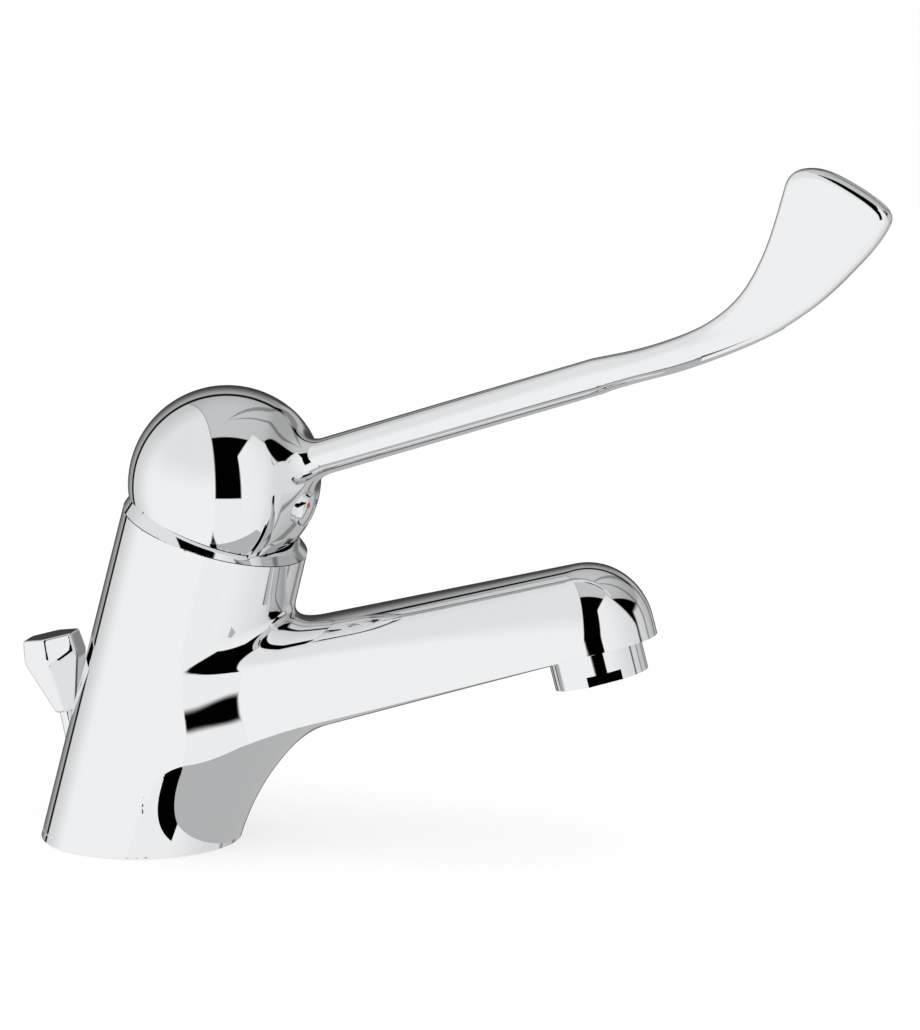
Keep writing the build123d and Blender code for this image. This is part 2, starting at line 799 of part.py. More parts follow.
def forward_pin(radius, start, end, height, x=0.0):
    """Cylinder along the cap frame's Y, from start to end, end being further forward."""
    pin = Rot(90, 0, 0) * Cylinder(radius, start - end)
    return Pos(x, (start + end) / 2, height) * pin


def elbow_lever():
    """Lever casting: hollow dome, long rod and elbow blade in one piece."""
    lever = dome() + lever_rod()
    lever -= lever_sweep()
    lever += blade()
    lever -= dome_hollow()
    socket_half = stem_side / 2 + sliding_gap
    lever -= in_cap(block(socket_half, -socket_half, socket_half, 0, stem_top + seat_gap))
    front = plug_front(plug_height)
    lever -= in_cap(forward_pin(plug_shank_radius + running_gap, front + plug_shank_length
                                + sliding_gap, front - dome_radius, plug_height))
    return lever - in_cap(forward_pin(screw_radius + running_gap, 0, front, plug_height))


def grub_screw():
    """Socket screw that clamps the lever to its stem."""
    start = -stem_side / 2 - running_gap
    screw = forward_pin(screw_radius, start, start - screw_length, plug_height)
    socket = Plane(origin=(0, start - screw_length, plug_height), z_dir=(0, 1, 0))
    key = extrude(socket * RegularPolygon(screw_radius * screw_socket_share, 6),
                  screw_length / 3)
    return screw - key


def index_plug():
    """Domed plug that hides the grub screw and carries the hot and cold marks."""
    front = plug_front(plug_height)
    plug = forward_pin(plug_shank_radius, front + plug_shank_length, front - plug_stand,
                       plug_height)
    plug += forward_pin(plug_radius, front - sliding_gap, front - plug_stand, plug_height)
    ball_radius = (plug_radius ** 2 + plug_crown ** 2) / (2 * plug_crown)
    ball = Pos(0, front - plug_stand - plug_crown + ball_radius, plug_height) * Sphere(ball_radius)
    crown = ball & forward_pin(plug_radius, front - plug_stand / 2, front - plug_stand - plug_crown
                               - overrun, plug_height)
    plug += crown
    for side in (-1, 1):
        plug -= mark_pin(side, mark_radius + running_gap, overrun)
    return plug


def mark_pin(side, radius, proud):
    """Small round pin on the plug's face, on one side of its middle."""
    front = plug_front(plug_height) - plug_stand - plug_crown
    reach = hypot(mark_side, mark_rise) / plug_radius
    face = front + plug_crown * reach ** 2
    return forward_pin(radius, face + mark_depth, face - proud, plug_height + mark_rise,
                       x=side * mark_side)


# aerator, in the outlet frame

def ring_pattern(pitch, rings):
    """Places of a honeycomb: a middle hole and hexagonal rings round it."""
    places = [(0.0, 0.0)]
    for ring in range(1, rings + 1):
        for side in range(6):
            here, there = radians(60 * side), radians(60 * side + 60)
            for step in range(ring):
                share = step / ring
                places.append((pitch * ring * (cos(here) * (1 - share) + cos(there) * share),
                               pitch * ring * (sin(here) * (1 - share) + sin(there) * share)))
    return places


def aerator_shell():
    """Chrome shell with two spanner flats and an inner lip that holds the insert."""
    shell = disc(aerator_radius, 0, aerator_length)
    shell -= disc(aerator_radius - aerator_wall - aerator_lip, -overrun, aerator_length)
    shell -= disc(aerator_radius - aerator_wall, aerator_lip_height, aerator_length + overrun)
    for side in (0, 180):
        flat = Pos(0, aerator_flat + aerator_radius / 2, 0) * Box(
            2 * aerator_radius, aerator_radius, 2 * aerator_flat_height)
        shell -= Rot(0, 0, aerator_flat_turn - 90 + side) * flat
    return shell


def aerator_insert():
    """Plastic flow insert with a honeycomb of holes."""
    insert = disc(insert_radius, insert_low, insert_low + insert_length)
    holes = [disc(insert_hole_radius, insert_low - overrun, insert_low + insert_length + overrun,
                  x, y) for x, y in ring_pattern(insert_hole_pitch, insert_rings)]
    return insert - holes


def aerator_screen():
    """Thin steel strainer on top of the insert."""
    screen = disc(insert_radius, screen_low, screen_low + screen_thickness)
    holes = [disc(screen_hole_radius, screen_low - overrun, screen_low + overrun, x, y)
             for x, y in ring_pattern(screen_hole_pitch, screen_rings)]
    return screen - holes


def aerator_washer():
    """Flat rubber washer between the shell and the spout head."""
    outer = aerator_radius - sliding_gap
    return tube(outer, outer - washer_width, washer_low, washer_low + washer_thickness)


# pop-up lift rod

def lift_rod_bush():
    """Plastic guide for the lift rod, pressed into its boss from below."""
    bush = tube(lift_bush_radius, lift_rod_radius + running_gap,
                along_rod(lift_bush_low), along_rod(lift_bush_high))
    return lift_plane().location * bush


def lift_rod():
    """Thin straight rod, from the knob's socket down to the foot."""
    rod = disc(lift_rod_radius, along_rod(lift_rod_foot), knob_socket_depth - sliding_gap)
    return lift_plane().location * rod


def lift_rod_knob():
    """Six-sided knob: widest at its girdle, drawn in to the rod below."""
    def ring(radius, height):
        return Pos(0, 0, height) * RegularPolygon(radius, knob_sides)
    lower = loft([ring(knob_bottom_radius, 0), ring(knob_girdle_radius, knob_girdle_height)],
                 ruled=True)
    upper = loft([ring(knob_girdle_radius, knob_girdle_height),
                  ring(knob_top_radius, knob_height)], ruled=True)
    knob = lower + upper
    knob = chamfer(knob.edges().group_by(Axis.Z)[-1], knob_edge)
    knob -= disc(lift_rod_radius + running_gap, -overrun, knob_socket_depth)
    return lift_plane().location * (Rot(0, 0, knob_turn) * knob)


nodes = {
    "tap_body": tap_body(),
    "base_seal_ring": base_seal_ring(),
    "cartridge_nut": in_cap(cartridge_nut()),
    "cartridge_housing": in_cap(cartridge_housing()),
    "cartridge_base": in_cap(cartridge_base()),
    "cartridge_port_seals": in_cap(cartridge_port_seals()),
    "fixed_ceramic_disc": in_cap(fixed_ceramic_disc()),
    "moving_ceramic_disc": in_cap(moving_ceramic_disc()),
    "disc_carrier": in_cap(disc_carrier()),
    "cartridge_rotor": in_cap(cartridge_rotor()),
    "rotor_seal": in_cap(rotor_seal()),
    "pivot_pin": in_cap(pivot_pin()),
    "lever_stem": in_cap(lever_stem()),
    "cover_ring": in_cap(cover_ring()),
    "elbow_lever": elbow_lever(),
    "grub_screw": in_cap(grub_screw()),
    "index_plug": in_cap(index_plug()),
    "hot_mark": in_cap(mark_pin(-1, mark_radius, mark_proud)),
    "cold_mark": in_cap(mark_pin(1, mark_radius, mark_proud)),
    "aerator_shell": in_outlet(aerator_shell()),
    "aerator_insert": in_outlet(aerator_insert()),
    "aerator_screen": in_outlet(aerator_screen()),
    "aerator_washer": in_outlet(aerator_washer()),
    "lift_rod_bush": lift_rod_bush(),
    "lift_rod": lift_rod(),
    "lift_rod_knob": lift_rod_knob(),
}

os.makedirs("parts", exist_ok=True)
for name, shape in nodes.items():
    export_step(shape, f"parts/{name}.step")
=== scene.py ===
"""Looks of the elbow lever tap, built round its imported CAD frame.

Shapes are worked out in millimetres in the frame's own axes and turned into metres
when a mesh is made. The chrome castings are rebuilt as smooth meshes of signed
distance fields, because chrome shows every facet of a plain CAD mesh.
"""
from math import cos, hypot, pi, radians, sin, sqrt, tan

import bpy
import numpy as np
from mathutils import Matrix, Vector


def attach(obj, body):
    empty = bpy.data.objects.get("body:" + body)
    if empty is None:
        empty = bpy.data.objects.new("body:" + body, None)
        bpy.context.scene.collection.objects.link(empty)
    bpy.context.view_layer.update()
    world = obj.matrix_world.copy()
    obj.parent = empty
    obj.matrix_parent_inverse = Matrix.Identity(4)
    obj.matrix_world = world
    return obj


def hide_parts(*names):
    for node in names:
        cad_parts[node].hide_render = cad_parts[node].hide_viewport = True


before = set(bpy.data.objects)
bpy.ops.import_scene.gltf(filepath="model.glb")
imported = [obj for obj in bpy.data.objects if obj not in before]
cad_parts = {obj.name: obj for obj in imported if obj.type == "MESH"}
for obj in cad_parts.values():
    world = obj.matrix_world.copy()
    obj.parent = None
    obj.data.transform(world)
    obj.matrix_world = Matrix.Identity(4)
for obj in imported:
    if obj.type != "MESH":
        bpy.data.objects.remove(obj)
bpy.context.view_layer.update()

millimetre = 0.001

# the tap's sizes: most are those of its CAD source, and some follow the photograph
# more closely than the solids do
base_radius = 26.0
collar_radius = 24.4
collar_reach = 21.8
collar_height = 82.7
collar_front = 58.0
lean_angle = 16.3
outlet_reach = 127.5
outlet_height = 52.4
outlet_angle = 15.2
seat_gap = 0.3
sliding_gap = 0.1

spout_half_width = 16.3
spout_top = 29.8
spout_shoulder = 12.5
spout_root_shoulder = 22.0
spout_length = 112.0
spout_parallel_length = 58.0
spout_root_half_width = 19.5
spout_root_drop = 38.0
spout_foot = 2.0
body_top_blend = 9.0
body_side_blend = 18.0
side_blend = 1.5
blend_low = 2.0
blend_high = 24.0
spout_flare_power = 1.5

heel_angle = 72.0
throat_angle = 47.0
soffit_angle = 18.8
heel_radius = 70.0
throat_radius = 34.0
sweep_half_width = 24.0
sweep_length = 100.0
sweep_stand_off = 0.3
soffit_sag_share = 0.36
end_sag_share = 0.14
least_arch_square = 1.0

chamber_radius = 20.3
chamber_depth = 32.0
floor_thickness = 4.0
nut_thread_radius = 21.2
nut_depth = 8.8
land_width = 5.2
web_half_width = 16.5
web_reach = 11.0
web_height = 15.0
inlet_radius = 4.45
inlet_depth = 12.0
inlet_spacing = 19.0
inlet_forward = 5.0
column_radius = 5.8
port_side = 8.4
port_forward = 5.4
drain_back = 5.0
drain_column_radius = 7.6
feeder_drop = 17.0
feeder_end_back = 79.5
feeder_end_height = 16.0
stud_radius = 3.4
stud_depth = 12.0
stud_back = 5.0
seal_outer_radius = 24.7
seal_inner_radius = 22.3
seal_height = 1.8
aerator_bore_radius = 12.1
aerator_shoulder = 15.6

lift_tilt = 12.5
lift_rod_back = 20.8
knob_bottom_height = 31.2
lift_bore_radius = 2.05
lift_bush_radius = 2.95
lift_bush_high = 17.0
lift_boss_radius = 5.1
lift_boss_height = 22.0
lift_bore_run = 5.0

ring_key_radius = 13.5
ring_flange_top = 1.4
ring_wall = 1.8
ring_foot_radius = 24.4
ring_edge = 0.12
ring_edge_share = 0.3
ring_turns = 384
ring_sharp_angle = 30.0

dome_radius = 25.5
dome_centre_height = 12.5
rim_height = 3.2
rim_tilt = 3.0
lip_thickness = 0.8
boss_radius = 8.0
boss_rise = 5.0
web_thickness = 12.0
web_rise = 9.0
face_bulge = 21.5
face_bulge_height = 12.3
face_bulge_radius = 24.0
face_side_radius = 70.0
face_wall = 1.8
face_edge_blend = 1.6
root_blend = 9.0
rod_slope = 19.1
rod_half_height = 4.65
rod_half_width = 6.4
rod_tip_half_width = 3.4
rod_anchor_forward = 81.6
rod_anchor_height = 114.2
rod_end_forward = 152.0
rod_buried_forward = 172.0
rod_buried_half_height = 0.4
rod_buried_half_width = 0.3
rod_start_forward = 40.0
blade_half_thickness = 3.2
blade_heel_half_thickness = 1.9
blade_heel_forward = 126.0
blade_full_forward = 154.0
blade_edge_radius = 2.5
blade_edge_share = 0.9
blade_blend = 3.0
blade_room = 12.0

# the blade's outline seen from the side, forward of the origin and up: its corners
# are cut away this often, and this share of each side goes with them
outline_rounds = 2
outline_cut_share = 0.25
blade_outline = [
    (128.0, 130.6), (142.0, 138.0), (150.9, 142.6), (156.0, 145.6), (160.9, 149.6),
    (164.8, 154.2), (167.9, 159.8), (170.4, 165.6), (172.5, 172.2), (174.1, 178.0),
    (175.3, 182.2), (177.8, 184.4), (182.5, 184.9), (187.0, 183.8), (192.9, 181.0),
    (198.6, 177.6), (201.5, 174.9), (201.7, 171.8), (197.5, 165.6), (193.0, 160.7),
    (188.7, 156.1), (184.1, 151.8), (179.0, 147.8), (174.2, 144.5), (168.6, 141.2),
    (161.5, 137.8), (153.0, 134.2), (144.0, 131.0), (128.5, 128.0)]

plug_height = 13.9
plug_front = 21.272
plug_radius = 4.45
plug_stand = 1.9
plug_crown = 0.7
plug_edge = 0.25
plug_shank_radius = 3.9
plug_shank_length = 3.6
plug_shank_overlap = 1.0
mark_side = 2.4
mark_rise = 2.0
mark_depth = 0.5
mark_hole_radius = 0.75
knob_height = 20.4
knob_girdle_height = 14.6
knob_bottom_radius = 3.2
knob_girdle_radius = 8.6
knob_top_radius = 7.7
knob_edge = 0.7
knob_sides = 6
knob_turn = 8.0
knob_socket_depth = 9.0

# the boxes that hold each smooth piece, and how finely its fields become a mesh
body_box = ((-28, -147, -2), (28, 28, 94))
lever_box = ((-27.5, -204, 74), (27.5, 8, 188))
knob_box = ((-10, 14, 30), (10, 38, 56))
plug_box = ((-5.5, -53, 84), (5.5, -38, 98))
body_step = 0.8
lever_step = 0.7
knob_step = 0.35
plug_step = 0.2

# the trunk's lean depends on the height that it changes, so it is found in rounds
lean_rounds = 4

# points settle on a surface in rounds; a crease is where two fields lie within this
# share of a step and their slopes differ by at least this turn
settle_rounds = 4
chunk_size = 150000
small_step = 0.02
crease_share = 0.6
least_turn = 0.08
least_slope = 0.05
tiny = 1e-9

# how far a creased face's normals are taken from its corners towards its middle
corner_share = 0.35


class Tilted:
    """Axes that lean about X from a point on the middle plane: Y to the back, Z up."""

    def __init__(self, forward, height, lean):
        angle = radians(lean)
        self.origin = np.array((0.0, -forward, height))
        self.back = np.array((0.0, cos(angle), sin(angle)))
        self.up = np.array((0.0, -sin(angle), cos(angle)))

    def local(self, points):
        offset = points - self.origin
        return offset[:, 0], offset @ self.back, offset @ self.up

    def world(self, x, y, z):
        return (self.origin + np.multiply.outer(y, self.back) + np.multiply.outer(z, self.up)
                + np.multiply.outer(x, np.array((1.0, 0.0, 0.0))))


cap = Tilted(collar_reach, collar_height, lean_angle)
outlet = Tilted(outlet_reach, outlet_height, -outlet_angle)
lift = Tilted(-lift_rod_back, knob_bottom_height, -lift_tilt)


# fields: negative inside, in millimetres

def meet(first, second, blend):
    """Union with a fillet."""
    share = np.maximum(blend - np.abs(first - second), 0) / blend
    return np.minimum(first, second) - share * share * blend / 4


def trim(first, second, blend):
    """Overlap with a rounded edge."""
    return -meet(-first, -second, blend)


def bar(points, start, end, radius):
    """Round-ended bar between two points."""
    start, end = np.array(start, float), np.array(end, float)
    run = end - start
    along = np.clip((points - start) @ run / (run @ run), 0, 1)
    return np.linalg.norm(points - start - along[:, None] * run, axis=1) - radius


def trunk(points):
    """Leaning body between the round foot and the round collar."""
    x, y, z = points.T
    lean = radians(lean_angle)
    share = z / collar_height
    for _ in range(lean_rounds):
        run = base_radius * (1 - share) + collar_radius * cos(lean) * share
        slant = collar_radius * share * sin(lean) / run
        share = (z - slant * (y + collar_reach * share)) / collar_height
    wide = base_radius * (1 - share) + collar_radius * share
    deep = base_radius * (1 - share) + collar_radius * cos(lean) * share
    return (np.hypot(x / wide, (y + collar_reach * share) / deep) - 1) * wide


def spout(points):
    """Spout with upright sides, an oval top and a round head."""
    x, back, up = outlet.local(points)
    spread = np.clip((back - spout_parallel_length)
                     / (spout_length - spout_parallel_length), 0, 1)
    flare = spread ** spout_flare_power
    half = spout_half_width + (spout_root_half_width - spout_half_width) * flare
    side = np.where(back < 0, np.hypot(x, back), np.abs(x))
    rooted = np.clip(back / spout_length, 0, 1)
    shoulder = (spout_shoulder + (spout_root_shoulder - spout_shoulder)
                * rooted * (2 - rooted))
    rise = np.maximum(up - shoulder, 0) / (spout_top - shoulder)
    skin = (np.hypot(side / half, rise) - 1) * half
    floor = spout_foot - (spout_foot + spout_root_drop) * spread
    return np.maximum(skin, np.maximum(back - spout_length, floor - up))


def swept(points):
    """Height over the hollow sweep in front of the foot and under the spout."""
    x, forward, z = points[:, 0], -points[:, 1], points[:, 2]
    heel, throat, soffit = radians(heel_angle), radians(throat_angle), radians(soffit_angle)
    start = np.array((base_radius + sweep_stand_off, 0.0))
    low_middle = start + heel_radius * np.array((sin(heel), -cos(heel)))
    joint = low_middle + heel_radius * np.array((-sin(throat), cos(throat)))
    high_middle = joint + throat_radius * np.array((sin(throat), -cos(throat)))
    end = high_middle + throat_radius * np.array((-sin(soffit), cos(soffit)))

    def beyond(place, angle):
        return (forward - place[0]) * cos(angle) + (z - place[1]) * sin(angle)

    def above(place, angle):
        return (z - place[1]) * cos(angle) - (forward - place[0]) * sin(angle)

    low_turn = np.arctan2(low_middle[0] - forward, z - low_middle[1])
    high_turn = np.arctan2(high_middle[0] - forward, z - high_middle[1])
    past_end, past_joint, past_start = (beyond(end, soffit), beyond(joint, throat),
                                        beyond(start, heel))
    height = np.select(
        [past_start < 0, past_joint < 0, past_end < 0],
        [above(start, heel), np.hypot(forward - low_middle[0], z - low_middle[1]) - heel_radius,
         np.hypot(forward - high_middle[0], z - high_middle[1]) - throat_radius],
        above(end, soffit))
    turn = np.select([past_start < 0, past_joint < 0, past_end < 0],
                     [heel, low_turn, high_turn], soffit)
    turned = np.clip((heel - turn) / (heel - soffit), 0, 1)
    share = 1 - (1 - soffit_sag_share) * turned ** 2 * (3 - 2 * turned)
    share = share - (soffit_sag_share - end_sag_share) * np.clip(past_end / sweep_length, 0, 1)
    foot_sag = base_radius - sqrt(base_radius ** 2 - sweep_half_width ** 2)
    sag = foot_sag * share
    bulge = (sweep_half_width ** 2 + sag ** 2) / (2 * sag)
    return height - (bulge - np.sqrt(np.maximum(bulge ** 2 - x ** 2, least_arch_square)))


def body_fields(points):
    """Everything that bounds the tap body: the largest of these is its field."""
    x, y, z = points.T
    cap_x, cap_y, cap_z = cap.local(points)
    out_x, out_y, out_z = outlet.local(points)
    lift_x, lift_y, lift_z = lift.local(points)
    outside = trunk(points)
    share = np.clip((blend_high - out_z) / (blend_high - blend_low), 0, 1)
    share = share ** 2 * (3 - 2 * share)
    skin = meet(outside, spout(points),
                body_top_blend + (body_side_blend - body_top_blend) * share)
    widest = base_radius + (collar_radius - base_radius) * np.clip(z / collar_height, 0, 1)
    skin = trim(skin, np.abs(x) - widest, side_blend)
    room = np.maximum(outside + land_width, cap_z + chamber_depth + floor_thickness)
    kept = np.maximum(np.maximum(np.abs(x) - web_half_width, np.abs(y) - web_reach),
                      z - web_height)
    drain_foot = cap.world(0.0, drain_back, -chamber_depth - feeder_drop)
    feeder_end = outlet.world(0.0, feeder_end_back, feeder_end_height)
    for side in (-1, 1):
        foot = (side * inlet_spacing / 2, -inlet_forward, 0.0)
        head = cap.world(side * port_side, -port_forward, -chamber_depth)
        kept = np.minimum(kept, bar(points, foot, head, column_radius))
    head = cap.world(0.0, drain_back, -chamber_depth)
    kept = np.minimum(kept, bar(points, head, drain_foot, drain_column_radius))
    kept = np.minimum(kept, bar(points, drain_foot, feeder_end, drain_column_radius))
    kept = np.minimum(kept, np.maximum(np.hypot(lift_x, lift_y) - lift_boss_radius,
                                       z - lift_boss_height))
    chamber = np.maximum(np.hypot(cap_x, cap_y) - chamber_radius, -chamber_depth - cap_z)
    nut = np.maximum(np.hypot(cap_x, cap_y) - nut_thread_radius, -nut_depth - cap_z)
    mouth = np.maximum(np.hypot(out_x, out_y) - aerator_bore_radius, out_z - aerator_shoulder)
    inlets = np.minimum(*[np.hypot(x - side * inlet_spacing / 2, y + inlet_forward)
                          for side in (-1, 1)]) - inlet_radius
    inlets = np.maximum(inlets, z - inlet_depth)
    stud = np.maximum(np.hypot(x, y - stud_back) - stud_radius, z - stud_depth)
    bore = np.maximum(np.hypot(lift_x, lift_y) - lift_bore_radius, lift_z - lift_bore_run)
    bush = np.maximum(np.hypot(lift_x, lift_y) - lift_bush_radius, z - lift_bush_high)
    ring = np.hypot(x, y)
    groove = np.maximum(np.maximum(ring - seal_outer_radius, seal_inner_radius - ring),
                        z - seal_height)
    collar = np.where(y > -collar_front, cap_z, -body_step)
    return np.stack([skin, -swept(points), collar, -z, np.minimum(-room, kept), -chamber, -nut,
                     -mouth, -inlets, -stud, -np.minimum(bore, bush), -groove])


def smooth_outline(places):
    """Closed outline rounded by cutting its corners again and again."""
    line = np.array(places, float)
    cut, kept = outline_cut_share, 1 - outline_cut_share
    for _ in range(outline_rounds):
        after = np.roll(line, -1, axis=0)
        line = np.stack([line * kept + after * cut, line * cut + after * kept], 1)
        line = line.reshape(-1, 2)
    return line


def inside_outline(places, first, second):
    """Distance to a closed outline in a plane, negative inside it."""
    distance = np.full(first.shape, np.inf)
    crossings = np.zeros(first.shape, bool)
    for (ax, ay), (bx, by) in zip(places, np.roll(places, -1, axis=0)):
        run_x, run_y = bx - ax, by - ay
        along = np.clip(((first - ax) * run_x + (second - ay) * run_y)
                        / (run_x ** 2 + run_y ** 2), 0, 1)
        distance = np.minimum(distance, np.hypot(first - ax - along * run_x,
                                                 second - ay - along * run_y))
        if by != ay:
            level = (ay > second) != (by > second)
            crossings ^= level & (first < ax + (second - ay) * run_x / run_y)
    return np.where(crossings, -distance, distance)


blade_line = smooth_outline(blade_outline)


def blade(points):
    """Upright plate for the elbow with rounded edges, thinner at its heel."""
    x, forward, z = np.abs(points[:, 0]), -points[:, 1], points[:, 2]
    low, high = blade_line.min(0), blade_line.max(0)
    away = np.maximum.reduce([low[0] - forward, low[1] - z, z - high[1],
                              x - blade_half_thickness])
    near = away < blade_room
    x, forward, z = x[near], forward[near], z[near]
    share = np.clip((forward - blade_heel_forward)
                    / (blade_full_forward - blade_heel_forward), 0, 1)
    half = (blade_heel_half_thickness
            + (blade_half_thickness - blade_heel_half_thickness) * share)
    radius = np.minimum(blade_edge_radius, half * blade_edge_share)
    reach = inside_outline(blade_line, forward, z) + radius
    depth = x - half + radius
    away[near] = (np.hypot(np.maximum(reach, 0), np.maximum(depth, 0))
                  + np.minimum(np.maximum(reach, depth), 0) - radius)
    return away


def rod(points):
    """Oval rod that thins towards the blade."""
    slope = radians(rod_slope)
    forward, height = -points[:, 1] - rod_anchor_forward, points[:, 2] - rod_anchor_height
    along = forward * cos(slope) + height * sin(slope)
    across = height * cos(slope) - forward * sin(slope)
    start = (rod_start_forward - rod_anchor_forward) / cos(slope)
    full = (blade_heel_forward - rod_anchor_forward) / cos(slope)
    end = (rod_end_forward - rod_anchor_forward) / cos(slope)
    buried = (rod_buried_forward - rod_anchor_forward) / cos(slope)
    half = np.interp(along, (start, end, buried),
                     (rod_half_width, rod_tip_half_width, rod_buried_half_width))
    high = np.interp(along, (full, buried), (rod_half_height, rod_buried_half_height))
    skin = (np.hypot(points[:, 0] / half, across / high) - 1) * high
    return np.maximum(skin, np.maximum(start - along, along - buried))


def face(points, inset):
    """Front face of the dome, bulged a little both ways."""
    x, y, z = cap.local(points)
    drop = ((z - face_bulge_height) ** 2 / (2 * face_bulge_radius)
            + x ** 2 / (2 * face_side_radius))
    return -y - (face_bulge - inset - drop)


def rim(points):
    """How far below the dome's tilted rim a point lies."""
    _, y, z = cap.local(points)
    tilt = radians(rim_tilt)
    shift = (dome_centre_height - rim_height) * sin(tilt)
    return (y - shift) * sin(tilt) - (z - rim_height) * cos(tilt)


def lever_fields(points):
    """Everything that bounds the lever."""
    x, y, z = cap.local(points)
    ball = np.sqrt(x ** 2 + y ** 2 + (z - dome_centre_height) ** 2) - dome_radius
    head = trim(ball, face(points, 0.0), face_edge_blend)
    arm = meet(rod(points), blade(points), blade_blend)
    skin = meet(head, arm, root_blend)
    tilt = radians(rim_tilt)
    distance = dome_centre_height - rim_height
    lip_radius = sqrt(dome_radius ** 2 - distance ** 2) - lip_thickness
    shift = distance * sin(tilt)
    tube = np.hypot(x, y - shift)
    room = np.where(z < dome_centre_height, tube,
                    np.hypot(tube, z - dome_centre_height)) - lip_radius
    room = np.maximum(room, face(points, face_wall))
    boss = np.maximum(np.hypot(x, y) - boss_radius, boss_rise - z)
    web = np.maximum(np.maximum(np.abs(x) - web_thickness / 2, y), web_rise - z)
    return np.stack([skin, rim(points), np.minimum(-room, np.minimum(boss, web))])


def knob_fields(points):
    """Six-sided knob with rounded edges and its socket."""
    x, y, z = lift.local(points)
    shrink = cos(pi / knob_sides)
    lower = (knob_girdle_radius - knob_bottom_radius) * shrink / knob_girdle_height
    upper = ((knob_top_radius - knob_girdle_radius) * shrink
             / (knob_height - knob_girdle_height))
    skin = np.maximum(z - knob_height, -z)
    for side in range(knob_sides):
        angle = radians(knob_turn) + (side + 0.5) * 2 * pi / knob_sides
        out = x * cos(angle) + y * sin(angle) - knob_girdle_radius * shrink
        for slant in (lower, upper):
            plane = (out - (z - knob_girdle_height) * slant) / sqrt(1 + slant ** 2)
            skin = trim(skin, plane, knob_edge)
    socket = np.maximum(np.hypot(x, y) - lift_bore_radius, z - knob_socket_depth)
    return np.stack([skin, -socket])


def plug_fields(points):
    """Domed plug with its shank and the two holes for the marks."""
    x, y, z = cap.local(points)
    back = y + plug_front
    across = z - plug_height
    radius = np.hypot(x, across)
    ball_radius = (plug_radius ** 2 + plug_crown ** 2) / (2 * plug_crown)
    dome = np.sqrt(x ** 2 + across ** 2
                   + (back + plug_stand + plug_crown - ball_radius) ** 2) - ball_radius
    head = trim(np.maximum(radius - plug_radius, back + sliding_gap), dome, plug_edge)
    shank = np.maximum(radius - plug_shank_radius,
                       np.maximum(back - plug_shank_length, -back - plug_shank_overlap))
    holes = np.minimum(*[np.hypot(x - side * mark_side, across - mark_rise)
                         for side in (-1, 1)]) - mark_hole_radius
    reach = hypot(mark_side, mark_rise) / plug_radius
    bottom = plug_crown * (reach ** 2 - 1) - plug_stand + mark_depth
    return np.stack([np.minimum(head, shank), -np.maximum(holes, back - bottom)])


# from fields to meshes

def chunked(fields, points):
    """The largest of the fields at many points."""
    return np.concatenate([fields(points[start:start + chunk_size]).max(0)
                           for start in range(0, len(points), chunk_size)])


def slopes(fields, points, which=None):
    """Values and gradients: of the largest field, or of one chosen field per point."""
    rows = np.arange(len(points))

    def value(at):
        found = fields(at)
        return found.max(0) if which is None else found[which, rows]

    gradient = np.empty_like(points)
    for axis in range(3):
        shift = np.zeros(3)
        shift[axis] = small_step
        gradient[:, axis] = (value(points + shift) - value(points - shift)) / (2 * small_step)
    return value(points), gradient


def settle(fields, points, step):
    """Moves points onto the surface, and those beside a crease onto the crease."""
    for _ in range(settle_rounds):
        found = fields(points)
        order = np.argsort(found, axis=0)[::-1][:2]
        rows = np.arange(len(points))
        first, second = order
        near = np.abs(found[first, rows] - found[second, rows]) < crease_share * step
        value, gradient = slopes(fields, points, first)
        move = value[:, None] * gradient / np.maximum((gradient ** 2).sum(1), least_slope)[:, None]
        if near.any():
            spot = np.flatnonzero(near)
            other, slant = slopes(fields, points[spot], second[spot])
            own = gradient[spot]
            a, b, c = (own ** 2).sum(1), (own * slant).sum(1), (slant ** 2).sum(1)
            ground = a * c - b * b
            sharp = ground > least_turn * a * c
            spot, own, slant, other = spot[sharp], own[sharp], slant[sharp], other[sharp]
            a, b, c, ground = a[sharp], b[sharp], c[sharp], ground[sharp]
            here = value[spot]
            p, q = (c * here - b * other) / ground, (a * other - b * here) / ground
            move[spot] = p[:, None] * own + q[:, None] * slant
        length = np.linalg.norm(move, axis=1)
        move *= np.minimum(1, step / np.maximum(length, tiny))[:, None]
        points = points - move
    return points


def net_of(fields, box, step):
    """Corners of a net round the zero surface of the fields in a box, and its quads."""
    low, high = np.array(box, float)
    counts = np.ceil((high - low) / step).astype(int) + 1
    axes = [low[i] + step * np.arange(counts[i]) for i in range(3)]
    grid = np.stack(np.meshgrid(*axes, indexing="ij"), -1).reshape(-1, 3)
    value = chunked(fields, grid).reshape(counts)
    inside = value < 0
    totals, tally, quads = np.zeros((value.size, 3)), np.zeros(value.size), []
    for axis in range(3):
        before = [slice(None)] * 3
        after = [slice(None)] * 3
        before[axis], after[axis] = slice(None, -1), slice(1, None)
        crossed = np.argwhere(inside[tuple(before)] != inside[tuple(after)])
        next_one = crossed.copy()
        next_one[:, axis] += 1
        here, there = value[tuple(crossed.T)], value[tuple(next_one.T)]
        place = low + step * crossed
        place[:, axis] += step * here / (here - there)
        second, third = (axis + 1) % 3, (axis + 2) % 3
        ring = []
        for a, b in ((0, 0), (1, 0), (1, 1), (0, 1)):
            cell = crossed.copy()
            cell[:, second] -= a
            cell[:, third] -= b
            flat = np.ravel_multi_index(cell.T, value.shape)
            for k in range(3):
                totals[:, k] += np.bincount(flat, place[:, k], value.size)
            tally += np.bincount(flat, minlength=value.size)
            ring.append(flat)
        ring = np.stack(ring, 1)
        flip = here > 0
        ring[flip] = ring[flip][:, ::-1]
        quads.append(ring)
    used = np.flatnonzero(tally)
    number = np.full(value.size, -1)
    number[used] = np.arange(len(used))
    return totals[used] / tally[used][:, None], number[np.concatenate(quads)]


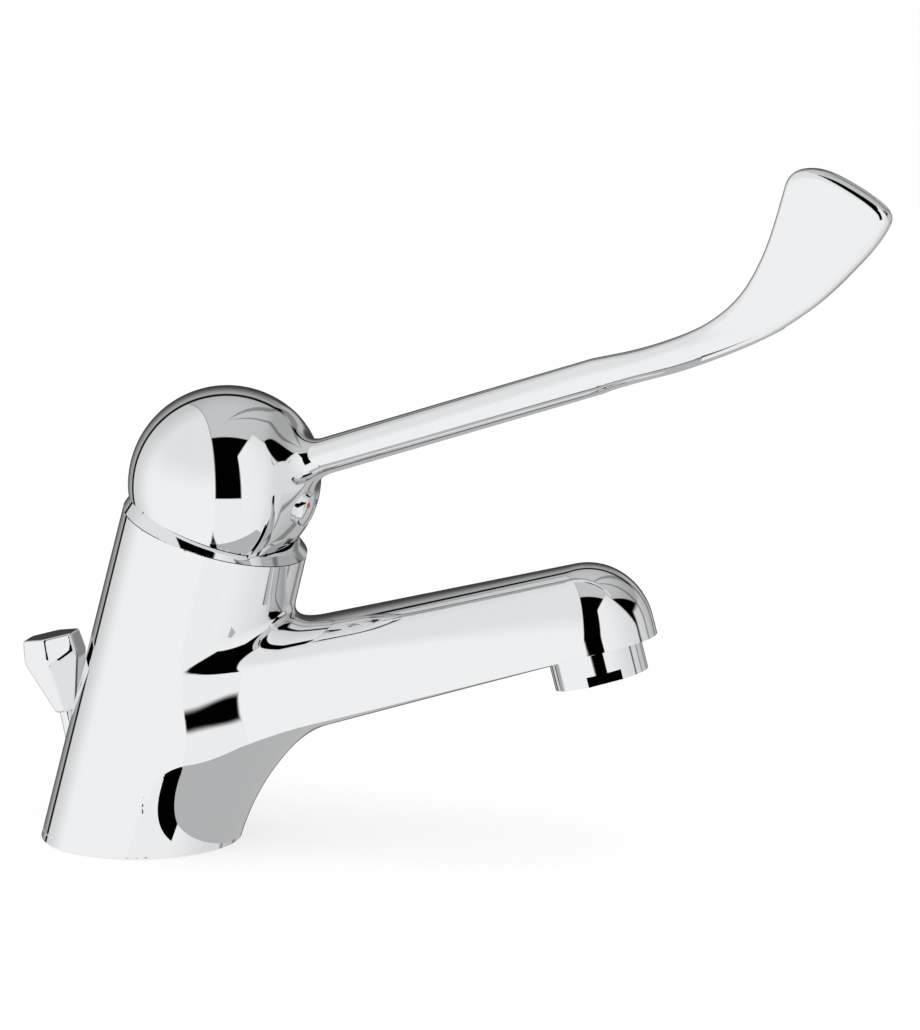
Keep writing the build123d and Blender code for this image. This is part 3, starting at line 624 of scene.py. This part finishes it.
def field_mesh(name, fields, box, step):
    """Object with a smooth quad mesh and true normals, from fields in millimetres."""
    points, quads = net_of(fields, box, step)
    points = settle(fields, points, step)
    _, normals = slopes(fields, points)
    found = fields(points)
    ranked = np.sort(found, axis=0)
    creased = (ranked[-1] - ranked[-2]) < crease_share * step
    corners = normals[quads]
    rough = np.flatnonzero(creased[quads].any(1))
    middle = points[quads[rough]].mean(1, keepdims=True)
    samples = points[quads[rough]] * (1 - corner_share) + middle * corner_share
    samples = samples.reshape(-1, 3)
    side = fields(samples).argmax(0)
    corners[rough] = slopes(fields, samples, side)[1].reshape(-1, 4, 3)
    corners = corners.reshape(-1, 3)
    corners /= np.maximum(np.linalg.norm(corners, axis=1), tiny)[:, None]
    mesh = bpy.data.meshes.new(name)
    mesh.from_pydata((points * millimetre).tolist(), [], quads.tolist())
    mesh.polygons.foreach_set("use_smooth", np.ones(len(quads), bool))
    mesh.update()
    mesh.normals_split_custom_set(corners.tolist())
    piece = bpy.data.objects.new(name, mesh)
    bpy.context.scene.collection.objects.link(piece)
    return piece


def loop_mesh(name, loops, sharp):
    """Object skinned between closed loops of points, the last one joined to the first."""
    count = len(loops[0])
    points = np.concatenate(loops)
    here = np.arange(count)
    after = np.roll(here, -1)
    quads = []
    for k in range(len(loops)):
        low, high = k * count, (k + 1) % len(loops) * count
        quads.append(np.stack([low + here, low + after, high + after, high + here], 1))
    mesh = bpy.data.meshes.new(name)
    mesh.from_pydata((points * millimetre).tolist(), [], np.concatenate(quads).tolist())
    mesh.polygons.foreach_set("use_smooth", np.ones(len(mesh.polygons), bool))
    mesh.update()
    mesh.set_sharp_from_angle(angle=radians(sharp))
    piece = bpy.data.objects.new(name, mesh)
    bpy.context.scene.collection.objects.link(piece)
    return piece


# materials

def node(tree, kind, inputs=None, **settings):
    """Adds a node, sets its properties and fills its inputs by name, number or link."""
    made = tree.nodes.new(kind)
    for key, value in settings.items():
        setattr(made, key, value)
    for key, value in (inputs or {}).items():
        if isinstance(value, bpy.types.NodeSocket):
            tree.links.new(value, made.inputs[key])
        else:
            made.inputs[key].default_value = value
    return made


# the fine noise is this much finer than the broad one, whose middle range is used
broad_grain_ratio = 24
noise_low, noise_high = 0.3, 0.7
least_roughness = 0.005
bump_depth = 0.0002


def material(name, colour, roughness, grain, grain_roughness, grain_shade, bump,
             metallic=0.0, stretch=(1.0, 1.0, 1.0), coat=0.0):
    """Plain finish whose roughness, shade and surface vary with a fine grain."""
    made = bpy.data.materials.new(name)
    made.use_nodes = True
    tree = made.node_tree
    shader = tree.nodes["Principled BSDF"]
    place = node(tree, "ShaderNodeTexCoord").outputs["Object"]
    scaled = node(tree, "ShaderNodeMapping", {"Vector": place, "Scale": stretch}).outputs[0]
    fine = node(tree, "ShaderNodeTexNoise", {"Vector": scaled, "Scale": grain, "Detail": 4.0})
    broad = node(tree, "ShaderNodeTexNoise", {
        "Vector": scaled, "Scale": grain / broad_grain_ratio, "Detail": 2.0})
    rough = node(tree, "ShaderNodeMapRange", {
        "Value": broad.outputs["Fac"], "From Min": noise_low, "From Max": noise_high,
        "To Min": max(roughness - grain_roughness / 2, least_roughness),
        "To Max": roughness + grain_roughness / 2})
    shade = node(tree, "ShaderNodeMix", {
        0: fine.outputs["Fac"], 6: (*[c * (1 - grain_shade) for c in colour], 1),
        7: (*[min(c * (1 + grain_shade), 1) for c in colour], 1)}, data_type="RGBA")
    tree.links.new(rough.outputs["Result"], shader.inputs["Roughness"])
    tree.links.new(shade.outputs[2], shader.inputs["Base Color"])
    if bump:
        lift_up = node(tree, "ShaderNodeBump", {"Height": fine.outputs["Fac"],
                                                "Strength": bump,
                                                "Distance": bump_depth})
        tree.links.new(lift_up.outputs["Normal"], shader.inputs["Normal"])
    shader.inputs["Metallic"].default_value = metallic
    shader.inputs["Coat Weight"].default_value = coat
    return made


chrome = material("polished_chrome", (0.86, 0.87, 0.88), 0.02, grain=500.0,
                  grain_roughness=0.015, grain_shade=0.01, bump=0.0, metallic=1.0)
trim_chrome = material("turned_chrome", (0.85, 0.86, 0.875), 0.03, grain=700.0,
                       grain_roughness=0.02, grain_shade=0.01, bump=0.0, metallic=1.0)
brass = material("bare_brass", (0.72, 0.5, 0.2), 0.3, grain=1200.0,
                 grain_roughness=0.12, grain_shade=0.08, bump=0.12, metallic=1.0)
steel = material("plain_steel", (0.55, 0.56, 0.58), 0.28, grain=1500.0,
                 grain_roughness=0.1, grain_shade=0.06, bump=0.1, metallic=1.0,
                 stretch=(1.0, 6.0, 1.0))
dark_plastic = material("moulded_grey_plastic", (0.09, 0.1, 0.12), 0.45, grain=2500.0,
                        grain_roughness=0.1, grain_shade=0.15, bump=0.2)
white_plastic = material("moulded_white_plastic", (0.8, 0.8, 0.77), 0.4, grain=2500.0,
                         grain_roughness=0.1, grain_shade=0.05, bump=0.15)
insert_plastic = material("aerator_plastic", (0.42, 0.43, 0.44), 0.38, grain=2500.0,
                          grain_roughness=0.1, grain_shade=0.06, bump=0.15)
ceramic = material("lapped_ceramic", (0.86, 0.85, 0.81), 0.18, grain=3000.0,
                   grain_roughness=0.06, grain_shade=0.03, bump=0.05, coat=0.4)
rubber = material("soft_rubber", (0.025, 0.025, 0.025), 0.7, grain=3000.0,
                  grain_roughness=0.15, grain_shade=0.2, bump=0.3)
red = material("red_fill", (0.72, 0.02, 0.015), 0.25, grain=4000.0,
               grain_roughness=0.08, grain_shade=0.08, bump=0.05, coat=0.5)
blue = material("blue_fill", (0.01, 0.1, 0.5), 0.25, grain=4000.0,
                grain_roughness=0.08, grain_shade=0.08, bump=0.05, coat=0.5)

finishes = {
    "base_seal_ring": rubber, "cartridge_nut": brass, "cartridge_housing": dark_plastic,
    "cartridge_base": dark_plastic, "cartridge_port_seals": rubber,
    "fixed_ceramic_disc": ceramic, "moving_ceramic_disc": ceramic,
    "disc_carrier": white_plastic, "cartridge_rotor": white_plastic, "rotor_seal": rubber,
    "pivot_pin": steel, "lever_stem": brass, "grub_screw": steel, "index_plug": trim_chrome,
    "hot_mark": red, "cold_mark": blue, "aerator_insert": insert_plastic,
    "aerator_screen": steel, "aerator_washer": rubber, "lift_rod_bush": dark_plastic,
    "lift_rod": trim_chrome, "lift_rod_knob": trim_chrome, "tap_body": chrome,
    "elbow_lever": chrome, "cover_ring": trim_chrome, "aerator_shell": trim_chrome}


def finish_piece(piece, surface):
    """Gives a piece its one material."""
    piece.data.materials.clear()
    piece.data.materials.append(surface)


for name, surface in finishes.items():
    finish_piece(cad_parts[name], surface)


def stand_for(piece, node_name, body, surface):
    """Puts a finer piece in the place of a CAD node."""
    finish_piece(piece, surface)
    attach(piece, body)
    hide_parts(node_name)


# smooth castings

body_piece = field_mesh("tap_casting", body_fields, body_box, body_step)
stand_for(body_piece, "tap_body", "body", chrome)

lever_piece = field_mesh("lever_casting", lever_fields, lever_box, lever_step)
stand_for(lever_piece, "elbow_lever", "lever", chrome)

knob_piece = field_mesh("knob_trim", knob_fields, knob_box, knob_step)
stand_for(knob_piece, "lift_rod_knob", "pop_up", trim_chrome)

plug_piece = field_mesh("plug_trim", plug_fields, plug_box, plug_step)
stand_for(plug_piece, "index_plug", "lever", trim_chrome)


# turned pieces

turns = np.linspace(0, 2 * pi, ring_turns, endpoint=False)


def ring_loop(radius, height, shift=0.0, slope=0.0):
    """Circle about the cartridge's axis; slope raises it towards the back."""
    x, y = radius * np.cos(turns), shift + radius * np.sin(turns)
    return cap.world(x, y, height + (y - shift) * slope)


def cover_ring_loops():
    """Section of the cover ring from its foot round to its hole."""
    tilt = tan(radians(rim_tilt))
    distance = dome_centre_height - rim_height
    shift = distance * sin(radians(rim_tilt))
    lip_radius = sqrt(dome_radius ** 2 - distance ** 2) - lip_thickness
    top_radius, top = lip_radius - seat_gap, rim_height - seat_gap
    return [ring_loop(ring_foot_radius - ring_edge, sliding_gap),
            ring_loop(ring_foot_radius, sliding_gap + ring_edge),
            ring_loop(top_radius + ring_edge * ring_edge_share, top - ring_edge, shift, tilt),
            ring_loop(top_radius - ring_edge, top, shift, tilt),
            ring_loop(top_radius - ring_wall, top, shift, tilt),
            ring_loop(top_radius - ring_wall, ring_flange_top, shift),
            ring_loop(ring_key_radius, ring_flange_top),
            ring_loop(ring_key_radius, sliding_gap)]


ring_piece = loop_mesh("cover_ring_trim", cover_ring_loops(), ring_sharp_angle)
stand_for(ring_piece, "cover_ring", "spindle", trim_chrome)


# floor

floor_width = 6.0
floor_height = -0.0003
floor_shade = 0.55
floor_glow = 0.58
floor_plain_shade = 0.8

# painted reflection of the table's shade as the hollow face under the spout sees it: a dark edge,
# then grey; glowing cards that show only in the chrome
card_height = 0.0002
card_near_corner = (-0.026, -0.027)
card_far_corner = (-0.068, -0.032)
painted_shadow_level = 0.5
painted_shadow_outline = (card_near_corner, card_far_corner, (-0.062, -0.13), (0.07, -0.13),
                     (0.07, -0.027))
painted_dark_edge_outline = ((-0.0235, -0.022), card_near_corner, card_far_corner, (-0.07, -0.02))


def grey(shade):
    """Opaque colour of one shade, from 0, black, to 1, white."""
    return shade, shade, shade, 1


def stage_sheet(name, corners, surface):
    """Flat sheet of the studio, which isn't part of the tap."""
    mesh = bpy.data.meshes.new(name)
    mesh.from_pydata(corners, [], [tuple(range(len(corners)))])
    sheet = bpy.data.objects.new(name, mesh)
    bpy.context.scene.collection.objects.link(sheet)
    sheet.data.materials.append(surface)
    return sheet


def bare_material(name):
    """Material without its first shader, its tree, and the socket for its surface."""
    made = bpy.data.materials.new(name)
    made.use_nodes = True
    tree = made.node_tree
    tree.nodes.remove(tree.nodes["Principled BSDF"])
    return made, tree, tree.nodes["Material Output"].inputs["Surface"]


def floor_material():
    """White floor that glows a little to the camera, so its shadow stays soft."""
    made, tree, surface = bare_material("white_floor")
    path = node(tree, "ShaderNodeLightPath")
    matte = node(tree, "ShaderNodeBsdfDiffuse", {"Color": grey(floor_shade)})
    glow = node(tree, "ShaderNodeEmission", {"Color": grey(1), "Strength": floor_glow})
    shown = node(tree, "ShaderNodeAddShader", {0: matte.outputs[0], 1: glow.outputs[0]})
    plain = node(tree, "ShaderNodeBsdfDiffuse", {"Color": grey(floor_plain_shade)})
    chosen = node(tree, "ShaderNodeMixShader", {
        0: path.outputs["Is Camera Ray"], 1: plain.outputs[0], 2: shown.outputs[0]})
    tree.links.new(chosen.outputs[0], surface)
    return made


def reflected_shade_card(name, shade, outline):
    """Evenly glowing patch that only shows in the chrome: a painted reflection of the floor's
    shade.
    """
    made, tree, surface = bare_material(name)
    glow = node(tree, "ShaderNodeEmission", {"Color": grey(shade)})
    tree.links.new(glow.outputs[0], surface)
    card = stage_sheet(name, [(x, y, card_height) for x, y in outline], made)
    card.visible_camera = card.visible_diffuse = card.visible_shadow = False


half_floor = floor_width / 2
floor = stage_sheet("floor", [(x * half_floor, y * half_floor, floor_height) for x, y in (
    (-1, -1), (1, -1), (1, 1), (-1, 1))], floor_material())
floor.visible_glossy = False
# grey glowing card: painted reflection of the tap's shadow on the floor in front of the foot
reflected_shade_card("grey_painted_shadow_card", painted_shadow_level, painted_shadow_outline)
# black card seen only in the chrome: painted reflection of the darkest shade on the floor next to
# the foot
reflected_shade_card("black_painted_shadow_card", 0.0, painted_dark_edge_outline)


# camera

camera_azimuth = radians(68.8)
camera_elevation = radians(11.7)
camera_distance = 1.5
camera_target = Vector((0, -0.0892, 0.0915))
camera_lens = 207.6
camera_sensor_width = 36.0
camera_clip_end = 20.0

# level directions: to the picture's right, and towards the camera
sideways = Vector((cos(camera_azimuth), -sin(camera_azimuth), 0))
towards = Vector((-sin(camera_azimuth), -cos(camera_azimuth), 0))
to_camera = towards * cos(camera_elevation) + Vector((0, 0, sin(camera_elevation)))

view = bpy.data.cameras.new("camera")
view.sensor_fit = "AUTO"
view.sensor_width = camera_sensor_width
view.lens = camera_lens
view.clip_end = camera_clip_end
camera = bpy.data.objects.new("camera", view)
bpy.context.scene.collection.objects.link(camera)
camera.location = camera_target + to_camera * camera_distance
camera.rotation_euler = to_camera.to_track_quat("Z", "Y").to_euler()
bpy.context.scene.camera = camera


# studio round the tap, as the chrome sees it
# right, up and near (towards the photograph's camera) are shares of a direction;
# azimuths are degrees from near to the right; a slant mixes right, up and near

back_edge = -0.72
left_box_slant, left_box_edge = (1, 0, -0.1), -0.3
right_box_start, right_box_end = 18, 95
right_box_end_lean = 32.0
right_box_top_slant = (0.875, -0.455, 0.166)
ceiling_start = radians(68)
ceiling_back_slant = (-0.554, 0.57, -0.61)
table_edge, table_half_angle = -0.09, 20
right_back_start, right_back_end, right_back_top = 96, -0.93, 0.35
far_back_edge = -0.79
nadir_edge = -0.9
edge_soft = 0.015

# shades from one end of an area to the other
left_box_shades, left_box_top_shades = (0.72, 0.99), (1.0, 0.86)
right_box_shades = (0.97, 0.78)
ceiling_shades = (0.42, 0.62)
table_shade = 0.96
right_back_shades = (0.75, 0.5)
far_back_shades = (0.05, 0.42)
nadir_shade = 0.5
matte_shade = 0.72

# upright dark stripes in the back: azimuth, half width and strength
stripes = ((118, 2.5, 0.55), (146, 4, 0.5))
stripe_soft, stripe_low = 1.5, -0.7


def studio():
    """White boxes left and right with a dark gap between, a grey ceiling and back.

    The camera sees plain white and matte surfaces an even pale grey. Only mirrored rays
    see the boxes.
    """
    world = bpy.data.worlds.new("studio")
    world.use_nodes = True
    bpy.context.scene.world = world
    tree = world.node_tree
    background = tree.nodes["Background"]
    path = node(tree, "ShaderNodeLightPath")
    direction = node(tree, "ShaderNodeTexCoord").outputs["Generated"]

    def math(operation, *values):
        return node(tree, "ShaderNodeMath", dict(enumerate(values)),
                    operation=operation).outputs[0]

    def along(axis):
        dot = node(tree, "ShaderNodeVectorMath", {0: direction, 1: axis},
                   operation="DOT_PRODUCT")
        return dot.outputs["Value"]

    def ramp(value, start, end, shades=(0.0, 1.0)):
        made = node(tree, "ShaderNodeMapRange", {
            "Value": value, "From Min": start, "From Max": end,
            "To Min": shades[0], "To Max": shades[1]}, interpolation_type="SMOOTHSTEP")
        return made.outputs["Result"]

    def over(value, edge, soft=edge_soft):
        return ramp(value, edge - soft, edge + soft)

    def under(value, edge, soft=edge_soft):
        return math("SUBTRACT", 1.0, over(value, edge, soft))

    def both(*values):
        total = values[0]
        for value in values[1:]:
            total = math("MULTIPLY", total, value)
        return total

    def mixed(shares):
        parts = [math("MULTIPLY", value, share) for value, share in
                 zip((right, up, near), shares)]
        return math("ADD", math("ADD", parts[0], parts[1]), parts[2])

    right, up, near = along(tuple(sideways)), along((0, 0, 1)), along(tuple(towards))
    arch_angle = math("ARCTAN2", up, near)
    azimuth = math("MULTIPLY", math("ARCTAN2", right, near), 180 / pi)
    left_box = both(under(mixed(left_box_slant), left_box_edge), over(near, back_edge))
    right_box_reach = math("ADD", azimuth, math("MULTIPLY", up, right_box_end_lean))
    right_box = both(over(azimuth, right_box_start, 1), over(mixed(right_box_top_slant), 0),
                     under(right_box_reach, right_box_end, 2))
    ceiling = both(over(mixed(left_box_slant), left_box_edge),
                   over(arch_angle, ceiling_start), over(near, back_edge),
                   over(mixed(ceiling_back_slant), 0))
    right_back = both(over(azimuth, right_back_start, 3), over(near, right_back_end, 0.03),
                      under(up, right_back_top, 0.05))
    table = both(under(up, table_edge), over(azimuth, -table_half_angle, 2),
                 under(azimuth, table_half_angle, 2))
    areas = [
        (left_box, math("MULTIPLY", ramp(near, back_edge, -0.1, left_box_shades),
                        ramp(up, 0.0, 0.6, left_box_top_shades))),
        (right_box, ramp(azimuth, 20, right_box_end, right_box_shades)),
        (ceiling, ramp(up, 0.45, 1.0, ceiling_shades)),
        (table, table_shade),
        (right_back, ramp(azimuth, right_back_start, 150, right_back_shades)),
        (under(near, far_back_edge), ramp(near, -1.0, -0.8, far_back_shades)),
        (under(up, nadir_edge, 0.08), nadir_shade)]
    total = 0.0
    for mask, shade in areas:
        total = math("MAXIMUM", total, math("MULTIPLY", mask, shade))
    for middle, half, strength in stripes:
        stripe = both(over(azimuth, middle - half, stripe_soft),
                      under(azimuth, middle + half, stripe_soft),
                      over(up, stripe_low), strength)
        total = math("MULTIPLY", total, math("SUBTRACT", 1.0, stripe))
    mirrored = node(tree, "ShaderNodeCombineColor", {0: total, 1: total, 2: total}).outputs[0]
    mirror_ray = math("MAXIMUM", path.outputs["Is Glossy Ray"],
                      path.outputs["Is Transmission Ray"])
    plain = node(tree, "ShaderNodeMix", {
        0: path.outputs["Is Camera Ray"], 6: grey(matte_shade), 7: grey(1)},
        data_type="RGBA").outputs[2]
    final = node(tree, "ShaderNodeMix", {0: mirror_ray, 6: plain, 7: mirrored},
                 data_type="RGBA").outputs[2]
    tree.links.new(final, background.inputs["Color"])
    background.inputs["Strength"].default_value = 1.0


studio()


# lamp, which gives the floor its shadow

lamp_power = 6.0
lamp_size = 1.2
lamp_place = Vector((-0.8, -0.5, 1.5))

lamp = bpy.data.lights.new("key", "AREA")
lamp.energy = lamp_power
lamp.size = lamp_size
key = bpy.data.objects.new("key", lamp)
key.location = lamp_place
key.rotation_euler = (lamp_place - camera_target).to_track_quat("Z", "Y").to_euler()
key.visible_glossy = False
bpy.context.scene.collection.objects.link(key)

bpy.context.scene.view_settings.view_transform = "Standard"
